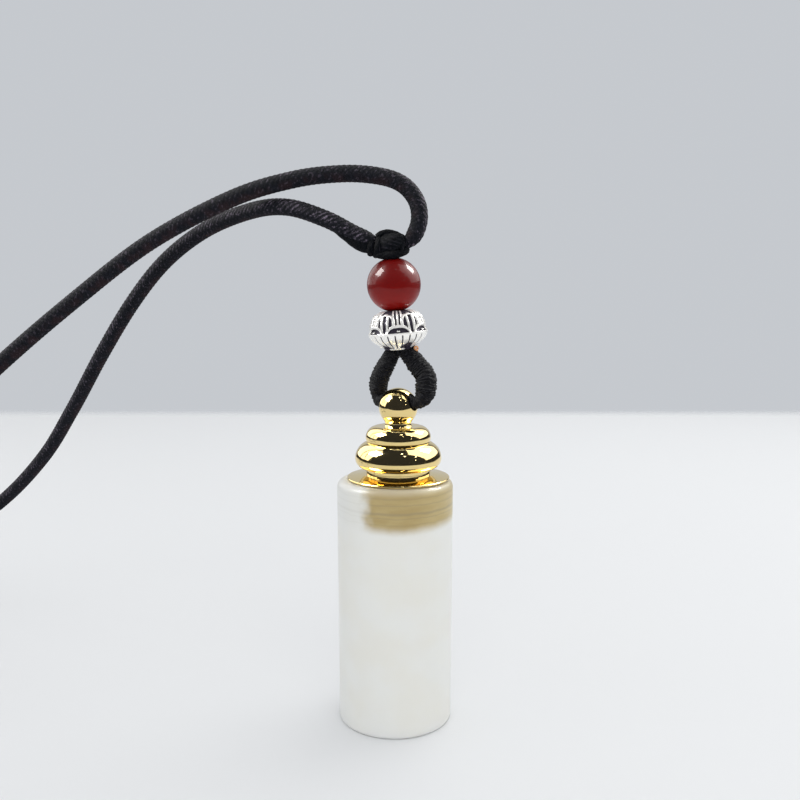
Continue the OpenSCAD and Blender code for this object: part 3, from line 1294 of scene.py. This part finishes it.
@dataclass(frozen=True)
class Bowl:
    """The relief of the silver bead's bowl: narrow slots between ribs, a low zone of
    painted reflection of the dark loop with painted shade, and a painted highlight on
    the foot's lip.

    Heights are shares of the bead's, turns go from 0 to 1, and depths are in
    millimetres.

    Attributes:
        flutes: Slots round the bowl.
        foot: Height of the plain foot.
        painted_foot_shade: How bright the rest of the foot is: low, as painted reflection and shade.
        rim: Height of the bowl's rim.
        lip_highlight_turn: Where the painted highlight on the foot's lip is.
        lip_highlight_reach: How far the painted highlight reaches to either side.
        lip_highlight_gain: How fast the painted highlight grows bright.
        lip_highlight_dip: How far the painted highlight pushes the painted dark zone down.
        slot_width: A slot's half width, as a share of the ribs' wave.
        slot_spread: How fast a slot widens below the height in spread_below.
        spread_below: The height below which it widens.
        slot_depth: Its depth.
        slot_end: How far under the rim it ends.
        slot_fade: How softly it ends.
        slot_gain: How fast it grows dark.
        painted_dark_height: Height of the painted dark zone's edge.
        painted_dark_sway: How unevenly the edge runs.
        painted_dark_pace: How fast the unevenness changes.
        painted_dark_slice: Where the unevenness is read.
        painted_dark_turn: Where the painted dark zone climbs higher.
        painted_dark_reach: How far that climb reaches to either side.
        painted_dark_climb: Its height.
        painted_dark_fade: How softly the painted dark zone ends.
        painted_dark_depth: Its depth.
        painted_dark_strength: How dark it is.
    """

    flutes: int = 24
    foot: float = 0.05
    # The rest of the foot is painted dark: a painted reflection of the dark loop with painted shade.
    painted_foot_shade: float = 0.1
    rim: float = 0.43
    # The painted highlight on the foot's lip.
    lip_highlight_turn: float = 0.72
    lip_highlight_reach: float = 0.1
    lip_highlight_gain: float = 1.5
    lip_highlight_dip: float = 0.05
    slot_width: float = 0.36
    slot_spread: float = 0.5
    spread_below: float = 0.3
    slot_depth: float = 0.3
    slot_end: float = 0.02
    slot_fade: float = 0.04
    slot_gain: float = 2.2
    # The low zone painted dark: a painted reflection of the dark loop with painted shade.
    painted_dark_height: float = 0.13
    painted_dark_sway: float = 0.16
    painted_dark_pace: float = 2.2
    painted_dark_slice: float = 3.0
    painted_dark_turn: float = 0.81
    painted_dark_reach: float = 0.06
    painted_dark_climb: float = 0.12
    painted_dark_fade: float = 0.05
    painted_dark_depth: float = 0.08
    painted_dark_strength: float = 0.85

    def __call__(self, share: float, turn: float) -> Cut:
        """How far the bowl is sunk.

        Args:
            share: The height, as a share of the bead's.
            turn: The turn round it, from 0 to 1.

        Returns:
            The cut.
        """
        # The foot's lip gets a painted highlight at one turn.
        lip = peak(turn, self.lip_highlight_turn, self.lip_highlight_reach)
        if share < self.foot:
            # The rest of the foot is painted dark: a painted reflection of the dark loop with painted
            # shade.
            bright = min(1.0, self.lip_highlight_gain * lip)
            return 0.0, self.painted_foot_shade + (1 - self.painted_foot_shade) * bright
        width = self.slot_width + self.slot_spread * max(0.0, self.spread_below - share)
        slot = peak(math.cos(math.pi * self.flutes * turn), 0.0, width)
        slot *= clamped((self.rim - self.slot_end - share) / self.slot_fade)
        # A low zone painted dark, a painted reflection of the dark loop with painted shade; it is also
        # sunk a little.
        x, y = circle(turn)
        spot = Vector((self.painted_dark_pace * x, self.painted_dark_pace * y, self.painted_dark_slice))
        top = self.painted_dark_height + self.painted_dark_sway * noise.noise(spot) - self.lip_highlight_dip * lip
        top += self.painted_dark_climb * peak(turn, self.painted_dark_turn, self.painted_dark_reach)
        painted_dark = clamped((top - share) / self.painted_dark_fade)
        lost = max(clamped(self.slot_gain * slot), self.painted_dark_strength * painted_dark)
        return self.slot_depth * slot + self.painted_dark_depth * painted_dark, 1 - lost


@dataclass(frozen=True)
class Crown:
    """The relief of the silver bead's crown: petals drawn as raised lines.

    A low arch with a dot under it stands between two petals. Sizes are in millimetres,
    laid out flat, and a line's size is half its width.

    Attributes:
        petals: Petals round the crown.
        height: The crown's height.
        half_pitch: Half the way from one petal to the next.
        arch_height: The arch's height.
        arch_half: Half its width.
        arch_margin: How far its ground reaches to the side.
        arch_over: How far its ground reaches over it.
        arch_line: Its line.
        arch_depth: Its ground's depth.
        dot_aside: The dot's place from the middle of the gap.
        dot_up: The dot's height.
        dot_radius: The dot's radius.
        petal_top: A petal's height.
        petal_half: Half its width at the foot.
        spread: How fast the crown's parts widen upwards.
        margin: How far a petal's ground reaches past its line.
        edge_line: Its outer line.
        tip: The height of the line across its tip.
        tip_from: The height from which that line is drawn.
        tip_line: That line.
        inner_at: Its inner lines' place from its middle.
        fine_line: A fine line.
        petal_sunk: How far its lines are sunk.
        petal_depth: Its ground's depth below them.
        outer_at: Places of the lines outside it, from the middle of the gap.
        outer_sunk: How far those lines are sunk.
        outer_depth: Their ground's depth below them.
    """

    petals: int = 6
    height: float = 3.2
    half_pitch: float = 1.6
    arch_height: float = 1.02
    arch_half: float = 1.22
    arch_margin: float = 0.08
    arch_over: float = 0.2
    arch_line: float = 0.27
    arch_depth: float = 0.4
    dot_aside: float = 0.08
    dot_up: float = 0.26
    dot_radius: float = 0.12
    petal_top: float = 2.8
    petal_half: float = 0.94
    spread: float = 0.16
    margin: float = 0.15
    edge_line: float = 0.17
    tip: float = 2.74
    tip_from: float = 2.3
    tip_line: float = 0.16
    inner_at: float = 0.3
    fine_line: float = 0.11
    petal_sunk: float = 0.03
    petal_depth: float = 0.47
    outer_at: tuple[float, float] = (0.0, 0.4)
    outer_sunk: float = 0.15
    outer_depth: float = 0.4

    def __call__(self, up: float, across: float) -> Cut:
        """How far the crown is sunk.

        Args:
            up: The height over the rim, as a share of the crown's.
            across: The place across a petal, from -1 to 1.

        Returns:
            The cut.
        """
        rise, side = up * self.height, abs(across) * self.half_pitch
        between = self.half_pitch - side
        arch = self.arch_height * max(0.0, 1 - (between / self.arch_half) ** 3) ** 0.6
        if between < self.arch_half + self.arch_margin and rise < arch + self.arch_over:
            dot = math.hypot(between - self.dot_aside, rise - self.dot_up) / self.dot_radius
            height = stroke(abs(arch - rise) / self.arch_line, dot)
            return self.arch_depth * (1 - height), height
        wide = 1 + self.spread * rise
        fine = self.fine_line * wide
        reach = self.petal_half * wide * max(0.0, 1 - (rise / self.petal_top) ** 4) ** 0.5
        if side < reach + self.margin * wide and rise < self.petal_top + self.margin:
            edge = abs(side - reach) / (self.edge_line * wide)
            if rise > self.tip_from:
                edge = min(edge, abs(rise - self.tip) / self.tip_line)
            height = stroke(edge, abs(side - self.inner_at * wide) / fine)
            return self.petal_sunk + self.petal_depth * (1 - height), height
        height = stroke(*(abs(between - place * wide) / fine for place in self.outer_at))
        return self.outer_sunk + self.outer_depth * (1 - height), height


@dataclass
class SilverBead:
    """The silver lotus bead: a fluted bowl with a crown of petals.

    The outline's heights and widths are shares of the bead's.
    """

    stack: Stack
    diameter: float = 9.1
    height: float = 5.8
    hole: float = 2.0
    hole_ease: float = 0.1
    hole_relief: float = 0.3
    columns: int = 432
    curve_steps: int = 6
    inner_rows: int = 14
    facing: float = 1.3
    band: float = 0.025
    bowl: Bowl = Bowl()
    crown: Crown = Crown()
    outline: tuple[tuple[float, float], ...] = (
        (0.0, 0.26), (0.0, 0.42), (0.03, 0.5), (0.07, 0.55), (0.13, 0.67), (0.2, 0.8),
        (0.28, 0.91), (0.36, 0.97), (0.41, 0.995), (0.44, 1.0), (0.465, 0.985),
        (0.5, 0.965), (0.56, 0.955), (0.64, 0.95), (0.7, 0.935), (0.76, 0.9),
        (0.82, 0.87), (0.88, 0.82), (0.94, 0.75), (0.99, 0.66), (1.02, 0.57),
        (1.015, 0.48), (0.985, 0.38), (0.95, 0.26),
    )

    def _relief(self, share: float, turn: float) -> Cut:
        """The bead's relief, from its foot to its hole.

        Args:
            share: The height, as a share of the bead's.
            turn: The turn round it, from 0 to 1.

        Returns:
            The cut.
        """
        turn = (turn - self.facing / 360) % 1.0
        start = self.bowl.rim + self.band
        if share < self.bowl.rim:
            return self.bowl(share, turn)
        if share < start:
            return 0.0, 1.0
        across = (turn * self.crown.petals + 0.5) % 1.0 * 2 - 1
        return self.crown((share - start) / (1 - start), across)

    def build(self) -> None:
        """Makes the bead."""
        outline = smooth_line(self.outline, self.curve_steps)

        def place(column: int, row: int) -> SkinPoint:
            """A point of the bead's surface.

            Args:
                column: Its number round the bead.
                row: Its number along the outline.

            Returns:
                The point.
            """
            share, reach = outline[row]
            turn = column / self.columns
            inner = row > len(outline) - self.inner_rows
            sunk, height = 0.0, self.hole_relief
            if not inner:
                sunk, height = self._relief(share, turn)
            radius = reach * self.diameter / 2 - sunk
            radius = max(self.hole / 2 + self.hole_ease, radius)
            x, y = circle(turn)
            up = share * self.height
            return Vector((radius * x, radius * y, up)), height, up

        form = skin(self.columns, len(outline), place, closed_ends=False)
        rims = [edge for edge in form.edges if edge.is_boundary]
        bmesh.ops.bridge_loops(form, edges=rims)
        bmesh.ops.recalc_face_normals(form, faces=form.faces)
        bead = self.stack.seat(form, 0)
        finish_piece("silver_lotus_bead", bead, GroovedSilver(), ["silver_bead"])


@dataclass
class ThreadEnd:
    """The curled end of a thin orange thread, at the foot of the silver bead."""

    points: tuple[Point, ...] = (
        (1.5, -0.4, 58.5), (2.3, -0.9, 58.35), (3.0, -1.1, 58.3), (3.45, -1.05, 58.6),
        (3.35, -1.1, 58.95), (3.0, -1.15, 58.85), (3.1, -1.2, 58.5), (3.5, -1.2, 58.4),
    )
    diameter: float = 0.3
    sides: int = 12
    spacing: float = 0.05
    curve_steps: int = 8
    winding: Wound = Wound(pitch=0.2, depth=0.03, sway=0.3)

    def build(self) -> None:
        """Makes the thread."""
        points = [(*point, self.diameter) for point in self.points]
        rings = rings_along(smooth_line(points, self.curve_steps), self.spacing, BACK)
        form = tube(rings, self.sides, self.winding)
        finish_piece("thread_end", form, CopperThread())


@dataclass
class Bottle:
    """The stone bottle with its collar, the cap and the red bead, from the frame."""

    finishes: tuple[tuple[str, Finish], ...] = (
        ("stone_bottle", MilkyStone()), ("collar", GoldMetal()), ("cap", GoldMetal()),
        ("red_bead", RedStone()),
    )

    def build(self) -> None:
        """Dresses the frame's own nodes."""
        for node, finish in self.finishes:
            dress_node(node, finish)


class Serves(Enum):
    """What a light is for: the shine in polished surfaces, or soft light on the rest."""

    SHINE = "shine"
    FILL = "fill"


@dataclass(frozen=True)
class Softbox:
    """One soft light that faces the bottle.

    Attributes:
        name: Its name.
        azimuth: Degrees from the front, to the right.
        elevation: Degrees over the table.
        size: Its width and height.
        glow: Its brightness, the same at any size.
        serves: What it is for.
        distance: How far it stands from what it aims at.
        aim: What it aims at.
        colour: The colour of its light.
    """

    name: str
    azimuth: float
    elevation: float
    size: tuple[float, float]
    glow: float
    serves: Serves = Serves.SHINE
    distance: float = 460.0
    aim: Point = (0.0, 0.0, 48.0)
    colour: Colour = (1.0, 0.99, 0.965)

    def build(self) -> None:
        """Makes the light where its angles and its distance say."""
        way = direction(math.radians(self.azimuth - 90), math.radians(self.elevation))
        data = bpy.data.lights.new(self.name, "AREA")
        data.shape = "RECTANGLE"
        data.size, data.size_y = (s * MM for s in self.size)
        data.energy = math.pi * self.glow * data.size * data.size_y
        data.color = self.colour
        lamp = put(self.name, data)
        lamp.location = (Vector(self.aim) + way * self.distance) * MM
        lamp.rotation_euler = way.to_track_quat("Z", "Y").to_euler()
        lamp.visible_glossy = self.serves is Serves.SHINE
        lamp.visible_diffuse = self.serves is Serves.FILL


@dataclass
class Table:
    """The table: a plain top whose edges fade away softly."""

    back: float = 376.0
    front: float = -230.0
    half_width: float = 430.0
    lip: float = 2.0
    fade: float = 34.0
    faces: int = 8
    colour: Colour = (0.775, 0.785, 0.80)

    def _top(self, middle: float, half_depth: float) -> Material:
        """The top's finish.

        Args:
            middle: The table's middle, towards the back.
            half_depth: Half the table's depth.

        Returns:
            The material.
        """
        recipe = Recipe(bpy.data.materials.new("table_top"))
        x, y, _ = recipe.place()
        deep = abs(y - middle).rise(half_depth - self.lip, half_depth - self.fade)
        wide = abs(x).rise(self.half_width - self.lip, self.half_width - self.fade)
        return recipe.surface(
            {
                "Base Color": (*self.colour, 1.0),
                "Roughness": 0.8,
                "Specular IOR Level": 0.1,
                "Alpha": deep * wide,
            }
        )

    def build(self) -> None:
        """Lays the table."""
        middle = (self.back + self.front) / 2
        half_depth = (self.back - self.front) / 2
        size = (self.half_width * MM, half_depth * MM, 1)
        form = bmesh.new()
        bmesh.ops.create_grid(form, x_segments=self.faces, y_segments=self.faces, size=1.0)
        bmesh.ops.scale(form, vec=size, verts=form.verts)
        bmesh.ops.translate(form, vec=(0, middle * MM, 0), verts=form.verts)
        table = put("table", mesh_of("table", form))
        table.data.materials.append(self._top(middle, half_depth))


@dataclass
class Studio:
    """The camera, the backdrop and the lights."""

    camera_at: Point = (0.77, -133.0, 66.7)
    pitch: float = 6.88
    lens: float = 39.15
    sensor: float = 36.0
    nearest: float = 5.0
    farthest: float = 20000.0
    backdrop_edge: tuple[float, float] = (0.8, 0.93)
    backdrop: Colour = (0.562, 0.585, 0.618)
    fill: Colour = (0.82, 0.83, 0.84)
    room: Colour = (0.029, 0.031, 0.041)
    lights: tuple[Softbox, ...] = (
        Softbox("left_window", azimuth=-115, elevation=34, size=(620, 560), glow=2.1),
        Softbox("right_window", azimuth=111, elevation=43, size=(670, 620), glow=2.1),
        Softbox("left_glare", azimuth=-86, elevation=43, size=(220, 200), glow=26.0, distance=450),
        Softbox("right_glare", azimuth=119, elevation=42, size=(160, 170), glow=30.0, distance=450),
        Softbox("front_fill", azimuth=8, elevation=32, size=(420, 360), glow=0.85, serves=Serves.FILL),
        Softbox("back_fill", azimuth=140, elevation=52, size=(420, 420), glow=0.95, serves=Serves.FILL),
        Softbox("upper_sparkle", azimuth=18, elevation=65, size=(26, 26), glow=14),
        Softbox("middle_sparkle", azimuth=21, elevation=47, size=(20, 20), glow=12),
        Softbox("side_sparkle", azimuth=56, elevation=36, size=(22, 22), glow=12),
        Softbox("low_sparkle", azimuth=48, elevation=18, size=(16, 16), glow=10),
    )

    def place_camera(self) -> None:
        """Sets the camera where the photograph was taken from."""
        data = bpy.data.cameras.new("camera")
        data.lens = self.lens
        data.sensor_width = self.sensor
        data.clip_start = self.nearest * MM
        data.clip_end = self.farthest * MM
        camera = put("camera", data)
        camera.location = Vector(self.camera_at) * MM
        camera.rotation_euler = (math.radians(90 - self.pitch), 0, 0)
        bpy.context.scene.camera = camera

    def surround(self) -> None:
        """Sets a plain backdrop for the camera, and a dim room that the metal mirrors."""
        world = bpy.data.worlds.new("studio")
        bpy.context.scene.world = world
        recipe = Recipe(world)
        way = recipe.add("ShaderNodeTexCoord", output="Generated")
        behind = recipe.parts(way)[1].rise(*self.backdrop_edge)
        mirrored = recipe.mix(behind, self.room, self.backdrop)
        camera_ray = recipe.add("ShaderNodeLightPath", output="Is Camera Ray")
        glossy_ray = recipe.add("ShaderNodeLightPath", output="Is Glossy Ray")
        seen = recipe.mix(camera_ray, self.fill, self.backdrop)
        colour = recipe.mix(glossy_ray, seen, mirrored)
        shader = recipe.add("ShaderNodeBackground", {"Color": colour, "Strength": 1.0})
        recipe.add("ShaderNodeOutputWorld", {"Surface": shader})

    def light(self) -> None:
        """Lights the set from both sides and softly from the front, with a few sparkles."""
        for softbox in self.lights:
            softbox.build()


def main() -> None:
    """Builds the set and every piece, in order."""
    logging.basicConfig(level=logging.INFO, format="%(name)s: %(message)s")
    bpy.context.scene.view_settings.view_transform = "Standard"
    studio = Studio()
    studio.place_camera()
    NeckCord().build()
    stack = Stack()
    Knot(stack).build()
    SilverBead(stack).build()
    HangingLoop(stack).build()
    ThreadEnd().build()
    Bottle().build()
    Table().build()
    studio.surround()
    studio.light()


if __name__ == "__main__":
    main()
